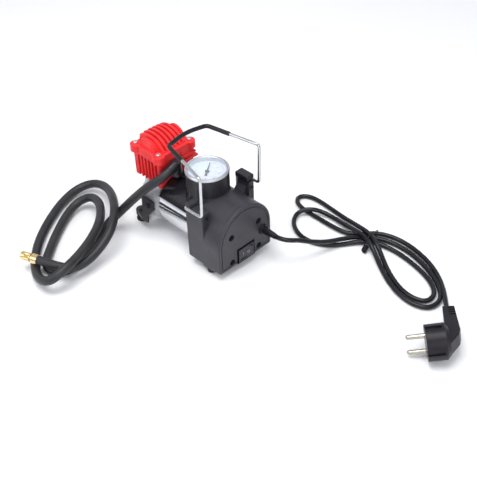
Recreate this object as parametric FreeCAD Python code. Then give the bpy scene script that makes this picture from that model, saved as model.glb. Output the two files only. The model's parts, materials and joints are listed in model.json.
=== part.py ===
import FreeCAD, Part
import math
import os

V = FreeCAD.Vector
os.makedirs("parts", exist_ok=True)

# A portable piston air compressor for tyres, millimetres.
# While a piece is drawn, x runs across the object, y runs forward from the rear cover's outer face and
# z runs up from the surface that the feet stand on. save() then moves it so that the origin lies under
# the middle of the object.
REAR_Y = -3.5
FRONT_Y = 159.5
SHIFT_Y = -(REAR_Y + FRONT_Y) / 2

# housing and motor
HALF_WIDTH = 40.0
HOUSING_BOTTOM = 9.0
AXIS_Z = 41.0
WALL = 2.5
COVER_THICK = 4.0
HOUSING_REAR = 4.2
HOUSING_FRONT = 50.0
EAR_REAR = 24.0
EAR_TOP = 79.0
POST_TOP = 84.0
EAR_WIDTH = 11.0
BOSS_REAR = 9.2
SCREW_SEAT = 7.6
CAN_R = 32.0
CAN_REAR = 24.0
CAN_FRONT = 110.0
SHAFT_R = 4.0
RUNNING_GAP = 0.04

# pump
PUMP_Y = 129.0
CASE_R = 33.5
CASE_TOP = 68.0
CASE_FRONT = 135.6
CASE_COVER_FRONT = 138.6
BLOCK_HALF = 25.6
BLOCK_REAR = 107.5
BLOCK_FRONT = 153.5
BLOCK_TOP = 99.0
FIN_PITCH = 5.9
FIN_DEPTH = 6.0
HEAD_BOTTOM = 101.0
PLATE_TOP = 108.0
BORE_R = 15.0
CRANK_R = 6.0
ROD_LENGTH = 31.0
ROD_THICK = 6.0
WRIST_PIN_HALF = 3.3

# gauge, handle, switch
GAUGE_Y = 56.6
GAUGE_R = 24.2
GAUGE_BOTTOM = 81.2
GAUGE_CASE_TOP = 103.4
DIAL_Z = 100.3
LENS_R = 21.7
NEEDLE_REST_DEG = 36.0
PIVOT_Y = 47.0
PIVOT_Z = 80.5
WIRE_R = 1.8
SLEEVE_R = 2.5
BAR_MIDDLE = (0, 87.8, 137.6)
SLEEVE_LEG = 30.0
SWITCH_Z = 19.3
SWITCH_TILT = 10.0

# hose and lead
HOSE_D = 10.4
CORD_D = 5.4
VALVE_R = 3.9
VALVE_DEPTH = 5.7
NUT_LENGTH = 12.8
GLAND_X = 27.7
GLAND_Z = 35.3
BOOT_LENGTH = 20.0
PIN_STRAIGHT = 16.6
PLUG_R = 18.2
PLUG_DEPTH = 19.0
GROOVE_LENGTH = 16.5

COVER_SCREWS = [(x, z) for z in (50.9, 16.3) for x in (-20.7, 20.7)]
EAR_SCREWS = [(-34.0, 73.0), (36.0, 76.0)]
HEAD_SCREWS = [(x, y) for y in (110.8, 150.2) for x in (-22.8, 22.8)]

HOSE_ROUTE = [
    (-17.5, 99.0, 91.4), (-31.5, 99.5, 86.0), (-38.5, 115.0, 72.5), (-45.0, 136.0, 49.0),
    (-53.5, 153.5, 26.5), (-67.5, 164.5, 10.0), (-90.0, 157.0, 5.5), (-113.0, 146.0, 5.5),
    (-133.0, 135.0, 5.5), (-151.0, 134.0, 5.5), (-163.0, 145.0, 5.5), (-159.0, 163.0, 5.5),
    (-141.0, 180.0, 5.5), (-115.0, 201.5, 5.5), (-86.5, 220.5, 7.0), (-66.0, 225.0, 11.0),
    (-54.0, 213.0, 18.0), (-62.0, 182.5, 26.0), (-85.0, 152.0, 30.0), (-112.0, 133.0, 30.0),
    (-139.0, 121.5, 28.0), (-165.5, 115.5, 26.0), (-181.5, 120.5, 18.0), (-181.0, 145.0, 9.0),
    (-167.0, 173.0, 5.5), (-145.0, 199.5, 5.5), (-111.5, 226.0, 5.5), (-73.5, 248.0, 5.5),
    (-45.5, 252.0, 8.0), (-30.0, 237.5, 14.0), (-34.0, 203.5, 24.0), (-57.5, 158.5, 36.0),
    (-83.5, 129.5, 34.0), (-104.5, 123.0, 23.0), (-131.0, 119.0, 16.0), (-150.0, 122.5, 16.0),
    (-159.5, 136.5, 18.0), (-165.0, 151.5, 18.5), (-169.5, 163.5, 18.5),
]

CORD_ROUTE = [
    (27.7, -20.0, 35.3), (27.7, -28.5, 35.3), (34.0, -36.5, 33.5), (44.0, -38.0, 29.0),
    (60.5, -44.5, 20.0), (80.0, -50.5, 13.0), (99.0, -55.5, 10.0), (116.5, -62.0, 5.5),
    (127.5, -72.5, 4.3), (136.5, -86.0, 3.0), (140.5, -104.0, 3.0), (138.5, -127.5, 3.0),
    (131.0, -150.5, 3.0), (121.0, -170.0, 3.0), (109.0, -185.0, 3.0), (95.5, -193.0, 3.0),
    (80.0, -190.0, 3.0), (73.5, -177.0, 3.0), (74.5, -157.0, 3.0), (83.5, -135.0, 3.0),
    (97.0, -113.5, 3.0), (108.0, -97.5, 5.5), (114.5, -84.5, 11.2), (120.5, -67.0, 11.2),
    (124.0, -45.0, 7.0), (129.5, -21.0, 3.0), (126.5, -3.0, 6.0), (116.5, 9.0, 9.5),
    (106.5, 18.5, 5.0), (90.0, 11.5, 3.0), (78.5, -6.0, 3.0), (76.0, -24.0, 3.0),
    (81.5, -40.5, 3.0), (91.0, -53.0, 3.0), (105.0, -62.5, 3.0), (116.0, -71.5, 4.3),
    (124.5, -82.0, 4.3), (129.5, -97.0, 3.0), (129.5, -116.5, 3.0), (125.5, -138.5, 3.0),
    (119.5, -158.0, 3.0), (111.0, -173.5, 3.0), (100.0, -183.0, 3.0), (86.5, -183.0, 3.0),
    (81.0, -171.5, 3.0), (82.0, -155.0, 3.0), (90.0, -136.0, 3.0), (102.5, -116.5, 3.0),
    (113.5, -101.0, 5.5), (120.5, -88.0, 11.2), (127.5, -71.5, 11.2), (131.5, -52.5, 8.5),
    (138.0, -28.0, 3.0), (141.0, -5.0, 3.0), (143.5, 16.0, 3.0), (142.0, 32.0, 3.0),
    (133.0, 40.0, 3.0), (123.5, 35.5, 3.0), (118.5, 23.5, 3.0), (117.0, 10.0, 3.0),
    (116.5, -5.5, 3.0), (115.5, -28.0, 3.0), (117.0, -49.5, 3.0), (126.5, -63.0, 4.3),
    (140.0, -74.0, 4.0), (148.5, -91.0, 3.0), (149.5, -112.5, 3.0), (144.0, -137.5, 3.0),
    (135.0, -158.0, 3.0), (123.0, -175.0, 3.0), (109.0, -188.5, 5.2), (91.0, -202.4, 9.8),
    (73.8, -215.6, 15.1),
]


# ---------------------------------------------------------------- helpers
def box(x0, x1, y0, y1, z0, z1):
    return Part.makeBox(x1 - x0, y1 - y0, z1 - z0, V(x0, y0, z0))


def rod_x(r, x0, x1, y, z):
    return Part.makeCylinder(r, x1 - x0, V(x0, y, z), V(1, 0, 0))


def rod_y(r, y0, y1, x=0.0, z=AXIS_Z):
    return Part.makeCylinder(r, y1 - y0, V(x, y0, z), V(0, 1, 0))


def rod_z(r, z0, z1, x, y):
    return Part.makeCylinder(r, z1 - z0, V(x, y, z0), V(0, 0, 1))


def fuse(shapes):
    whole = shapes[0]
    for shape in shapes[1:]:
        whole = whole.fuse(shape)
    return whole.removeSplitter()


def cut(shape, tools):
    for tool in tools:
        shape = shape.cut(tool)
    return shape


def both_sides(shape):
    return [shape, shape.mirror(V(0, 0, 0), V(1, 0, 0))]


def prism(points, direction):
    face = Part.Face(Part.makePolygon([V(*p) for p in points + points[:1]]))
    return face.extrude(V(*direction))


def revolve_z(profile, x, y):
    """Solid of revolution about the vertical line through (x, y) of a closed (radius, z) profile."""
    face = Part.Face(Part.makePolygon([V(x + r, y, z) for r, z in profile + profile[:1]]))
    return face.revolve(V(x, y, 0), V(0, 0, 1), 360)


def arch(half_width, bottom, y0, y1, corner):
    """D-shaped prism: round top about the motor axis, straight sides, flat bottom with round corners."""
    w = half_width
    k = corner * (1 - math.sqrt(0.5))
    line = Part.LineSegment
    edges = [
        line(V(-w, y0, bottom + corner), V(-w, y0, AXIS_Z)),
        Part.Arc(V(-w, y0, AXIS_Z), V(0, y0, AXIS_Z + w), V(w, y0, AXIS_Z)),
        line(V(w, y0, AXIS_Z), V(w, y0, bottom + corner)),
        Part.Arc(V(w, y0, bottom + corner), V(w - k, y0, bottom + k), V(w - corner, y0, bottom)),
        line(V(w - corner, y0, bottom), V(-w + corner, y0, bottom)),
        Part.Arc(V(-w + corner, y0, bottom), V(-w + k, y0, bottom + k), V(-w, y0, bottom + corner)),
    ]
    face = Part.Face(Part.Wire([e.toShape() for e in edges]))
    return face.extrude(V(0, y1 - y0, 0))


def sector_y(r, y0, y1, from_deg, to_deg):
    """Pie slice about the motor axis, angles measured from straight up towards +X."""
    reach = r * 1.5
    steps = [from_deg + (to_deg - from_deg) * i / 4 for i in range(5)]
    points = [(0, y0, AXIS_Z)]
    for a in steps:
        points.append((reach * math.sin(math.radians(a)), y0, AXIS_Z + reach * math.cos(math.radians(a))))
    return rod_y(r, y0, y1).common(prism(points, (0, y1 - y0, 0)))


def round_along(shape, radius, test):
    """Fillet the edges whose middle point and direction pass the test."""
    chosen = []
    for edge in shape.Edges:
        middle = edge.valueAt((edge.FirstParameter + edge.LastParameter) / 2)
        if test(middle, edge):
            chosen.append(edge)
    return shape.makeFillet(radius, chosen)


def bent_path(points, radii):
    """Straight runs joined by tangent arcs; radii holds one arc radius for each inner point."""
    pts = [V(*p) for p in points]
    edges = []
    start = pts[0]
    for i, radius in enumerate(radii, 1):
        into = (pts[i] - pts[i - 1]).normalize()
        out = (pts[i + 1] - pts[i]).normalize()
        half = into.getAngle(out) / 2
        trim = radius * math.tan(half)
        a = pts[i] - into * trim
        b = pts[i] + out * trim
        towards = (out - into).normalize()
        middle = pts[i] + towards * (radius / math.cos(half) - radius)
        edges.append(Part.LineSegment(start, a).toShape())
        edges.append(Part.Arc(a, middle, b).toShape())
        start = b
    edges.append(Part.LineSegment(start, pts[-1]).toShape())
    return Part.Wire(edges)


def pipe(path, r, first, second):
    direction = V(*second) - V(*first)
    ring = Part.Wire(Part.makeCircle(r, V(*first), direction))
    return path.makePipeShell([ring], True, False)


def cord_tube(points, diameter, name):
    """Free cord: every arc is as large as its two runs allow."""
    pts = [V(*p) for p in points]
    radii = []
    for a, b, c in zip(pts, pts[1:], pts[2:]):
        half = (b - a).getAngle(c - b) / 2
        radii.append(0.45 * min((b - a).Length, (c - b).Length) / math.tan(half))
    path = bent_path(points, radii)
    tube = pipe(path, diameter / 2, points[0], points[1])
    expected = math.pi * diameter ** 2 / 4 * path.Length
    print(name, "length", round(path.Length, 1), "volume ratio", round(tube.Volume / expected, 4))
    print(name, "radii", [round(r, 1) for r in radii])
    return tube


def screw_y(x, z, head_r, head_h, shank_r, face_y, tip_y):
    """Pan-head screw driven along +Y, its head outside face_y, with a cross slot."""
    head = rod_y(head_r, face_y - head_h, face_y, x, z)
    shank = rod_y(shank_r, face_y, tip_y, x, z)
    slot_y = face_y - head_h
    slots = [box(x - head_r * 0.7, x + head_r * 0.7, slot_y, slot_y + 0.8, z - 0.4, z + 0.4),
             box(x - 0.4, x + 0.4, slot_y, slot_y + 0.8, z - head_r * 0.7, z + head_r * 0.7)]
    return cut(head.fuse(shank), slots)


def save(shape, node):
    moved = shape.copy()
    moved.translate(V(0, SHIFT_Y, 0))
    if not moved.isValid():
        print("INVALID", node)
    moved.exportStep("parts/" + node + ".step")


def save_group(shapes, node):
    save(Part.makeCompound(shapes), node)


# ---------------------------------------------------------------- housing
def gauge_pedestal(foot_r, foot_z, y0, y1):
    """Round seat under the gauge whose foot flares out to the curved casing below."""
    top = V(GAUGE_R, GAUGE_Y, GAUGE_BOTTOM)
    middle = V(GAUGE_R + 0.25 * (foot_r - GAUGE_R), GAUGE_Y, (GAUGE_BOTTOM + foot_z) / 2)
    foot = V(foot_r, GAUGE_Y, foot_z)
    edges = [
        Part.LineSegment(V(0, GAUGE_Y, GAUGE_BOTTOM), top),
        Part.Arc(top, middle, foot),
        Part.LineSegment(foot, V(0, GAUGE_Y, foot_z)),
        Part.LineSegment(V(0, GAUGE_Y, foot_z), V(0, GAUGE_Y, GAUGE_BOTTOM)),
    ]
    face = Part.Face(Part.Wire([e.toShape() for e in edges]))
    whole = face.revolve(V(0, GAUGE_Y, 0), V(0, 0, 1), 360)
    return whole.common(box(-40, 40, y0, y1, foot_z, GAUGE_BOTTOM))


def left_ear():
    block = box(-HALF_WIDTH, -HALF_WIDTH + EAR_WIDTH, EAR_REAR, HOUSING_FRONT, AXIS_Z, EAR_TOP)
    block = round_along(block, 3.5, lambda m, e: abs(m.x + HALF_WIDTH) < 0.01 and abs(m.z - EAR_TOP) < 0.01)
    block = round_along(block, 1.2, lambda m, e: abs(m.y - EAR_REAR) < 0.01 and m.z > AXIS_Z + 5)
    boss = rod_x(4.4, -HALF_WIDTH, -HALF_WIDTH + EAR_WIDTH, PIVOT_Y, PIVOT_Z)
    return block.fuse(boss.common(box(-HALF_WIDTH, 0, EAR_REAR, HOUSING_FRONT, AXIS_Z, 90)))


def right_post():
    """Slimmer post with a slanted front corner, flared where it meets the arch."""
    plan = [(32.0, 25.0), (HALF_WIDTH, 25.0), (HALF_WIDTH, HOUSING_FRONT), (36.0, HOUSING_FRONT),
            (32.0, 43.0)]
    post = prism([(x, y, AXIS_Z) for x, y in plan], (0, 0, POST_TOP - AXIS_Z))
    post = round_along(post, 1.0, lambda m, e: m.x > 39.9 and abs(m.z - (AXIS_Z + POST_TOP) / 2) < 0.01)
    flare = prism([(32.5, 29, 78), (26.5, 29, 71), (26.5, 29, 62), (32.5, 29, 62)], (0, 14, 0))
    return post.fuse(flare)


def housing_shell():
    outer = arch(HALF_WIDTH, HOUSING_BOTTOM, HOUSING_REAR, HOUSING_FRONT, 3.0)
    inner = arch(HALF_WIDTH - WALL, HOUSING_BOTTOM + WALL, HOUSING_REAR, HOUSING_FRONT - WALL, 1.0)
    pedestal = gauge_pedestal(31.5, 66, 20, HOUSING_FRONT)
    skirts = both_sides(box(27, 39.2, 10, 28, 7.5, HOUSING_BOTTOM + 1))
    shell = fuse([outer, left_ear(), right_post(), pedestal] + skirts).cut(inner)
    bosses = []
    for x, z in COVER_SCREWS:
        bosses.append(rod_y(4.0, BOSS_REAR, 17, x, z))
        rib_end = 73.0 if z > AXIS_Z else HOUSING_BOTTOM + 1
        bosses.append(box(x - 1, x + 1, BOSS_REAR, 17, min(z, rib_end), max(z, rib_end)))
    shell = fuse([shell] + bosses)
    holes = [rod_y(1.5, 0, 16.2, x, z) for x, z in COVER_SCREWS]
    holes.append(rod_y(CAN_R + 0.15, CAN_REAR - 0.2, HOUSING_FRONT + 1))
    holes += both_sides(rod_x(WIRE_R + RUNNING_GAP, 35, 41, PIVOT_Y, PIVOT_Z))
    holes += [rod_y(1.4, EAR_REAR - 1, EAR_REAR + 11, x, z) for x, z in EAR_SCREWS]
    return cut(shell, holes)


def rear_cover():
    plate = arch(HALF_WIDTH, HOUSING_BOTTOM, 0, COVER_THICK, 3.0)
    plate = round_along(plate, 1.4, lambda m, e: abs(m.y) < 0.01)
    plate = fuse([plate] + [rod_y(4.7, COVER_THICK - 1, BOSS_REAR - 0.1, x, z) for x, z in COVER_SCREWS])
    groove = arch(36.4, HOUSING_BOTTOM + 3.6, 0, 0.8, 2.0).cut(arch(35.4, HOUSING_BOTTOM + 4.6, 0, 0.8, 1.5))
    recesses = [rod_y(3.9, 0, SCREW_SEAT, x, z) for x, z in COVER_SCREWS]
    holes = [rod_y(1.6, 0, BOSS_REAR, x, z) for x, z in COVER_SCREWS]
    window = box(-11, 11, 0, COVER_THICK, SWITCH_Z - 8, SWITCH_Z + 8)
    cable_hole = rod_y(5.0, 0, COVER_THICK, GLAND_X, GLAND_Z)
    return cut(plate, [groove, window, cable_hole] + recesses + holes)


def rear_feet():
    profile = [(0, 0.0), (3.6, 0.0), (4.6, 0.9), (5.0, 2.2), (5.0, 7.5), (0, 7.5)]
    return [revolve_z(profile, x, 21.0) for x in (-33.5, 33.5)]


def make_housing():
    save(housing_shell(), "housing_shell")
    save(rear_cover(), "rear_cover")
    screws = [screw_y(x, z, 3.0, 1.6, 1.5, SCREW_SEAT, 16.0) for x, z in COVER_SCREWS]
    faces = [EAR_REAR, EAR_REAR + 1]
    screws += [screw_y(x, z, 2.4, 1.3, 1.4, y, y + 9) for (x, z), y in zip(EAR_SCREWS, faces)]
    save_group(screws, "housing_screws")
    save_group(rear_feet(), "rear_feet")


# ---------------------------------------------------------------- switch, inlet and rectifier
def rocker():
    outline = [(-8.7, -1.8), (-4.5, -1.1), (0, -0.8), (4.5, -1.1), (8.7, -1.8), (7.6, 3.5), (0, 6.5),
               (-7.6, 3.5)]
    body = prism([(x, y, SWITCH_Z - 6.5) for x, y in outline], (0, 0, 13))
    pins = rod_z(1.2, SWITCH_Z - 7.3, SWITCH_Z + 7.3, 0, 3.0)
    whole = body.fuse(pins)
    whole.rotate(V(0, 3.0, SWITCH_Z), V(0, 0, 1), -SWITCH_TILT)
    return whole


def switch_body():
    flange = box(-11.5, 11.5, -1.5, 0, SWITCH_Z - 8.5, SWITCH_Z + 8.5)
    flange = round_along(flange, 0.8, lambda m, e: m.y < -1.49)
    body = box(-10.9, 10.9, 0, 16, SWITCH_Z - 7.7, SWITCH_Z + 7.7)
    cavity = box(-9.8, 9.8, -2, 10, SWITCH_Z - 6.8, SWITCH_Z + 6.8)
    pin_hole = rod_z(1.2 + RUNNING_GAP, SWITCH_Z - 7.4, SWITCH_Z + 7.4, 0, 3.0)
    return cut(flange.fuse(body), [cavity, pin_hole])


def cable_gland():
    flange = rod_y(6.5, -2.2, 0, GLAND_X, GLAND_Z)
    flange = round_along(flange, 0.8, lambda m, e: m.y < -2.1)
    barrel = rod_y(5.0, 0, 7, GLAND_X, GLAND_Z)
    boot = Part.makeCone(4.6, 3.1, BOOT_LENGTH - 2.2, V(GLAND_X, -2.2, GLAND_Z), V(0, -1, 0))
    return fuse([flange, barrel, boot])


def make_electrics():
    save(switch_body(), "switch_body")
    save(rocker(), "switch_rocker")
    tabs = [box(x - 2.4, x + 2.4, 16, 24, SWITCH_Z - 0.4, SWITCH_Z + 0.4) for x in (-6, 6)]
    save_group(tabs, "switch_terminals")
    save(cable_gland(), "cable_gland")
    board = cut(box(-28, 28, 17, 18.6, 30, 60), [rod_y(1.6, 16, 19, x, 50.9) for x in (-20.7, 20.7)])
    bridge = box(-14, -2, 11, 17, 34, 46)
    capacitor = rod_y(6.0, 5.5, 17, 8, 41)
    save_group([board, bridge, capacitor], "rectifier_board")


# ---------------------------------------------------------------- motor
def motor_end_cap():
    disc = rod_y(30.5, 24.5, 28.0)
    boss = rod_y(10, 28, 33)
    posts = both_sides(box(18, 26, 28, 34.5, AXIS_Z - 3, AXIS_Z + 3))
    pocket = rod_y(8, 26, 33)
    hole = rod_y(5.5, 24, 26)
    bolts = [rod_y(1.5, 24, 29, 0, AXIS_Z + s * 27.4) for s in (-1, 1)]
    return cut(fuse([disc, boss] + posts), [pocket, hole] + bolts)


def bearing(y0, y1, outer):
    return rod_y(outer, y0, y1).cut(rod_y(SHAFT_R + RUNNING_GAP, y0, y1))


def armature_slots(r0, r1, width, y0, y1):
    bars = []
    for i in range(10):
        bar = box(r0, r1, y0, y1, AXIS_Z - width / 2, AXIS_Z + width / 2)
        bar.rotate(V(0, 0, AXIS_Z), V(0, 1, 0), 36.0 * i)
        bars.append(bar)
    return bars


def armature_core():
    core = cut(rod_y(22.5, 48, 92), [rod_y(SHAFT_R, 48, 92)])
    return cut(core, armature_slots(11, 24, 3.2, 47, 93))


def armature_windings():
    rings = [cut(rod_y(19.5, y0, y0 + 6), [rod_y(7, y0, y0 + 6)]) for y0 in (42, 92)]
    return fuse(rings + armature_slots(11, 19.5, 3.0, 44, 96))


def commutator():
    drum = rod_y(9, 33.5, 42).cut(rod_y(SHAFT_R, 33.5, 42))
    grooves = []
    for i in range(12):
        groove = box(8.3, 10, 33.5, 42, AXIS_Z - 0.3, AXIS_Z + 0.3)
        groove.rotate(V(0, 0, AXIS_Z), V(0, 1, 0), 30.0 * i)
        grooves.append(groove)
    return cut(drum, grooves)


def brush_parts():
    brush = box(8.5, 17, 35.5, 40.5, AXIS_Z - 2, AXIS_Z + 2).cut(rod_y(9 + RUNNING_GAP, 34, 42))
    channel = box(11, 26, 35.5, 40.5, AXIS_Z - 2, AXIS_Z + 2)
    holder = box(12, 27, 34.5, 41.5, AXIS_Z - 3, AXIS_Z + 3).cut(channel)
    return brush, holder


def magnets():
    ring = rod_y(30.5, 46, 94).cut(rod_y(23.5, 46, 94))
    return [ring.common(sector_y(31, 46, 94, s * 90 - 58, s * 90 + 58)) for s in (-1, 1)]


def end_bell():
    disc = rod_y(34.0, CAN_FRONT, 114)
    spigot = rod_y(30.5, 107, CAN_FRONT).cut(rod_y(28.6, 107, CAN_FRONT))
    boss = rod_y(13, 102, CAN_FRONT)
    whole = fuse([disc, spigot, boss])
    bolts = [rod_y(1.5, 106, 115, 0, AXIS_Z + s * 27.4) for s in (-1, 1)]
    liner_room = rod_z(17.1, 60, 80, 0, PUMP_Y)
    return cut(whole, [rod_y(11, 104, 114), rod_y(6, 101, 105), liner_room] + bolts)


def motor_bolts():
    bolts = []
    for side in (-1, 1):
        z = AXIS_Z + side * 27.4
        bolts.append(rod_y(1.5, 24.5, 111.6, 0, z).fuse(rod_y(2.0, 22.5, 24.5, 0, z)))
    return bolts


def crankshaft_parts():
    shaft = rod_y(SHAFT_R, 27.2, 118).fuse(rod_y(3.5, 117, 124))
    disc = rod_y(16, 118, 124.8).common(box(-16, 16, 118, 124.8, AXIS_Z - 16, AXIS_Z + 11))
    pin_z = AXIS_Z + CRANK_R
    disc = cut(disc, [rod_y(3.5, 117, 124), rod_y(2.4, 117, 125, 0, pin_z)])
    pin = rod_y(2.4, 118, PUMP_Y + ROD_THICK / 2 + 1.2, 0, pin_z)
    return shaft, disc, pin


def make_motor():
    can = rod_y(CAN_R, CAN_REAR, CAN_FRONT).cut(rod_y(30.5, CAN_REAR, CAN_FRONT))
    save(can, "motor_can")
    save(motor_end_cap(), "motor_end_cap")
    save_group([bearing(27, 32, 8), bearing(104, 112, 11)], "shaft_bearings")
    brush, holder = brush_parts()
    save_group(both_sides(brush), "motor_brushes")
    save_group(both_sides(holder), "brush_holders")
    save_group(magnets(), "motor_magnets")
    save(end_bell(), "end_bell")
    save_group(motor_bolts(), "motor_bolts")
    save(armature_core(), "armature_core")
    save(armature_windings(), "armature_windings")
    save(commutator(), "commutator")
    shaft, disc, pin = crankshaft_parts()
    save(shaft, "motor_shaft")
    save(disc, "crank_disc")
    save(pin, "crank_pin")


# ---------------------------------------------------------------- saddle over the motor
def saddle_cover():
    rear, front = HOUSING_FRONT + 0.2, BLOCK_REAR - 0.3
    shell = sector_y(35, rear, front, -60, 60).cut(rod_y(CAN_R + 0.2, rear, front))
    rims = []
    for side in (-1, 1):
        low, high = sorted((side * 60, side * 57.5))
        rims.append(sector_y(36, rear, front, low, high).cut(rod_y(CAN_R + 0.2, rear, front)))
    pedestal = gauge_pedestal(28.5, 59.5, rear, 95)
    ridge = box(-4, 4, 70, front, 70, 79)
    ridge = round_along(ridge, 1.5, lambda m, e: m.z > 78.9 and abs(abs(m.x) - 4) < 0.01)
    whole = cut(fuse([shell, pedestal, ridge] + rims), [rod_y(CAN_R + 0.2, rear, front)])
    return cut(whole, [rod_z(4.2, 75.2, 82, 0, GAUGE_Y), rod_y(1.6, GAUGE_Y, front, 0, 77.0)])


# ---------------------------------------------------------------- pump
def crankcase():
    outer = rod_y(CASE_R, 114, CASE_FRONT).common(box(-40, 40, 114, CASE_FRONT, 0, CASE_TOP))
    pads = both_sides(box(26, 33.7, 116, 134, 33, 45))
    inner = rod_y(25, 117, CASE_FRONT)
    top_hole = rod_z(10.8, 60, CASE_TOP, 0, PUMP_Y)
    shaft_hole = rod_y(9, 113, 118)
    screw_holes = [rod_y(1.5, 123, CASE_FRONT, x, z) for x, z in case_screws()]
    side_holes = both_sides(rod_x(2.0, 24, 34, 124.0, 39.0))
    return cut(fuse([outer] + pads), [inner, top_hole, shaft_hole] + screw_holes + side_holes)


def case_screws():
    reach = 29.3 * math.sqrt(0.5)
    return [(sx * reach, AXIS_Z + sz * reach) for sz in (1, -1) for sx in (-1, 1)]


def crankcase_cover():
    rear, front = CASE_FRONT, CASE_COVER_FRONT
    plate = rod_y(CASE_R, rear, front).common(box(-40, 40, rear, front, 0, CASE_TOP))
    dome = Part.makeCone(21, 19, 1.8, V(0, front, AXIS_Z), V(0, 1, 0))
    ribs = [box(-1.2, 1.2, front - 1, front + 1.4, AXIS_Z - 30, AXIS_Z - 14)]
    for angle in (60, -60):
        rib = ribs[0].copy()
        rib.rotate(V(0, 0, AXIS_Z), V(0, 1, 0), angle)
        ribs.append(rib)
    return cut(fuse([plate, dome] + ribs), [rod_y(1.6, rear - 1, front + 1, x, z) for x, z in case_screws()])


def case_cover_screws():
    screws = []
    for x, z in case_screws():
        screw = screw_y(x, z, 2.9, 1.8, 1.5, -CASE_COVER_FRONT, -125.0)
        screws.append(screw.mirror(V(0, 0, 0), V(0, 1, 0)))
    return screws


def fin_slots():
    """Vertical slots between the fins on the two sides and the front of the cylinder block."""
    slots = []
    low, high = CASE_TOP - 1, BLOCK_TOP - 2.5
    for i in range(6):
        y = PUMP_Y + FIN_PITCH * (i - 2.5)
        slots.append(box(-BLOCK_HALF - 1, FIN_DEPTH - BLOCK_HALF, y - 1.8, y + 1.8, low, high))
        slots.append(box(BLOCK_HALF - FIN_DEPTH, BLOCK_HALF + 1, y - 1.8, y + 1.8, low, 82))
        x = FIN_PITCH * (i - 2.5)
        slots.append(box(x - 1.8, x + 1.8, BLOCK_FRONT - FIN_DEPTH, BLOCK_FRONT + 1, low, high))
    return slots


def cylinder_block():
    block = box(-BLOCK_HALF, BLOCK_HALF, BLOCK_REAR, BLOCK_FRONT, CASE_TOP, BLOCK_TOP)
    block = round_along(block, 2.0, lambda m, e: abs(m.z - (CASE_TOP + BLOCK_TOP) / 2) < 0.01)
    ledges = [box(6, reach, 105.5, 140, z, z + 2.6) for reach, z in ((31.0, 85.0), (28.0, 91.5))]
    ledges = [round_along(ledge, 1.0, lambda m, e: m.x > 27 or m.y < 106) for ledge in ledges]
    uprights = [box(x - 1, x + 1, 104.2, BLOCK_REAR + 1, 80, BLOCK_TOP) for x in (2.0, 7.0)]
    arch_band = fuse([sector_y(38, 112, 116, -44, 44), sector_y(36, 108, 113, -46, 46)])
    bore = rod_z(17, CASE_TOP - 1, BLOCK_TOP + 1, 0, PUMP_Y)
    tie_holes = [rod_z(1.6, 74, 100, x, y) for x, y in HEAD_SCREWS]
    air_hole = rod_y(1.6, 103, 112, 0, 77.0)
    spigot_hole = rod_y(4.0, 103, 112.5, -8.0, 88.0)
    whole = fuse([cut(block, fin_slots()), arch_band] + ledges + uprights)
    below_top = box(-40, 40, 113.9, 117, 0, CASE_TOP).common(rod_y(CASE_R + 0.1, 113.9, 117))
    can_side = rod_y(34.2, 100, 114.1)
    return cut(whole, [bore, can_side, below_top, air_hole, spigot_hole] + tie_holes)


def piston_parts():
    skirt = rod_z(BORE_R - RUNNING_GAP * 2, 81.0, 98.5, 0, PUMP_Y)
    lug_y = ROD_THICK / 2 + 1.7
    lugs = [box(-4, 4, PUMP_Y + s * lug_y - 1.1, PUMP_Y + s * lug_y + 1.1, 74.5, 96) for s in (-1, 1)]
    cavity = rod_z(12.5, 80.0, 95.5, 0, PUMP_Y)
    groove = rod_z(16, 89.0, 92.0, 0, PUMP_Y).cut(rod_z(13.6, 89.0, 92.0, 0, PUMP_Y))
    body = fuse([skirt.cut(cavity)] + lugs)
    pin_bore = rod_y(2.6, PUMP_Y - 10, PUMP_Y + 10, 0, 78.0)
    seal = rod_z(BORE_R - 0.02, 89.0, 92.0, 0, PUMP_Y).cut(rod_z(13.6, 89.0, 92.0, 0, PUMP_Y))
    return cut(body, [groove, pin_bore]), seal


def connecting_rod():
    y0, y1 = PUMP_Y - ROD_THICK / 2, PUMP_Y + ROD_THICK / 2
    low = AXIS_Z + CRANK_R
    high = low + ROD_LENGTH
    big = rod_y(6.5, y0, y1, 0, low)
    small = rod_y(4.5, y0, y1, 0, high)
    shank = box(-3, 3, y0 + 1.5, y1 - 1.5, low, high)
    holes = [rod_y(2.4 + RUNNING_GAP, y0, y1, 0, low), rod_y(2.2, y0, y1, 0, high)]
    return cut(fuse([big, small, shank]), holes)


def head_plate_outline(z0, z1):
    """Square plate whose four corners swell into round screw lobes."""
    plate = box(-25.5, 25.5, 106.5, 154.5, z0, z1)
    return fuse([plate] + [rod_z(7.0, z0, z1, x, y) for x, y in HEAD_SCREWS])


def head_rib(x0, x1, low, high, crest):
    """Rib along y that climbs gently from the rear and drops steeply at the front."""
    foot = PLATE_TOP - 1
    rear_top = V(x0, low, PLATE_TOP + 0.8)
    front_top = V(x0, high - 1.5, crest - 4.0)
    edges = [
        Part.LineSegment(V(x0, low, foot), rear_top),
        Part.Arc(rear_top, V(x0, low + 0.58 * (high - low), crest), front_top),
        Part.LineSegment(front_top, V(x0, high, foot)),
        Part.LineSegment(V(x0, high, foot), V(x0, low, foot)),
    ]
    face = Part.Face(Part.Wire([e.toShape() for e in edges]))
    return face.extrude(V(x1 - x0, 0, 0))


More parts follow.
